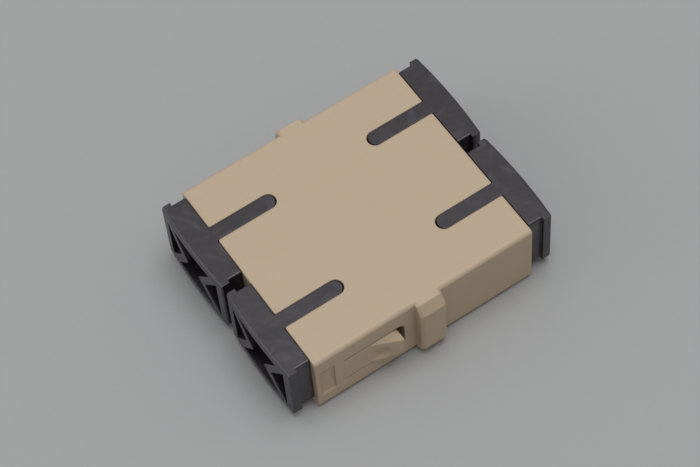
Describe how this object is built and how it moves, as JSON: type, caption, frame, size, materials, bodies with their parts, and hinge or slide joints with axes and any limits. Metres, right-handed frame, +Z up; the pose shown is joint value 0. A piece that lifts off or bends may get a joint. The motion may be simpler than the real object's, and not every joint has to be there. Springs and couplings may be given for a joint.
{
  "type": "duplex fibre optic adapter",
  "caption": "Duplex coupling adapter for push-pull fibre connectors, snapped into a panel by sprung side tongues, with ribbed dust plugs in its ports.",
  "frame": {"origin": "on the underside, below the middle of the adapter", "axes": "+Y along the fibres, from the front ports to the rear ports; +X across the two channels; +Z up, towards the keyways"},
  "size_m": [0.0278, 0.0332, 0.0093],
  "materials": {
    "housing": "satin beige moulding",
    "dust_plug": "satin dark grey moulding",
    "latch_holder": "satin natural moulding",
    "sleeve": "polished phosphor bronze"
  },
  "bodies": {
    "adapter": {"housing": "housing", "latch_holder_front_left": "latch_holder", "latch_holder_front_right": "latch_holder", "latch_holder_rear_left": "latch_holder", "latch_holder_rear_right": "latch_holder", "sleeve_left": "sleeve", "sleeve_right": "sleeve"},
    "plug_front_left": {"dust_plug_front_left": "dust_plug"},
    "plug_front_right": {"dust_plug_front_right": "dust_plug"},
    "plug_rear_left": {"dust_plug_rear_left": "dust_plug"},
    "plug_rear_right": {"dust_plug_rear_right": "dust_plug"}
  },
  "joints": [
    {"name": "pull_front_left", "type": "slide", "parent": "adapter", "child": "plug_front_left", "axis": [0, -1, 0], "range_m": [0, 0.02]},
    {"name": "pull_front_right", "type": "slide", "parent": "adapter", "child": "plug_front_right", "axis": [0, -1, 0], "range_m": [0, 0.02]},
    {"name": "pull_rear_left", "type": "slide", "parent": "adapter", "child": "plug_rear_left", "axis": [0, 1, 0], "range_m": [0, 0.02]},
    {"name": "pull_rear_right", "type": "slide", "parent": "adapter", "child": "plug_rear_right", "axis": [0, 1, 0], "range_m": [0, 0.02]}
  ]
}
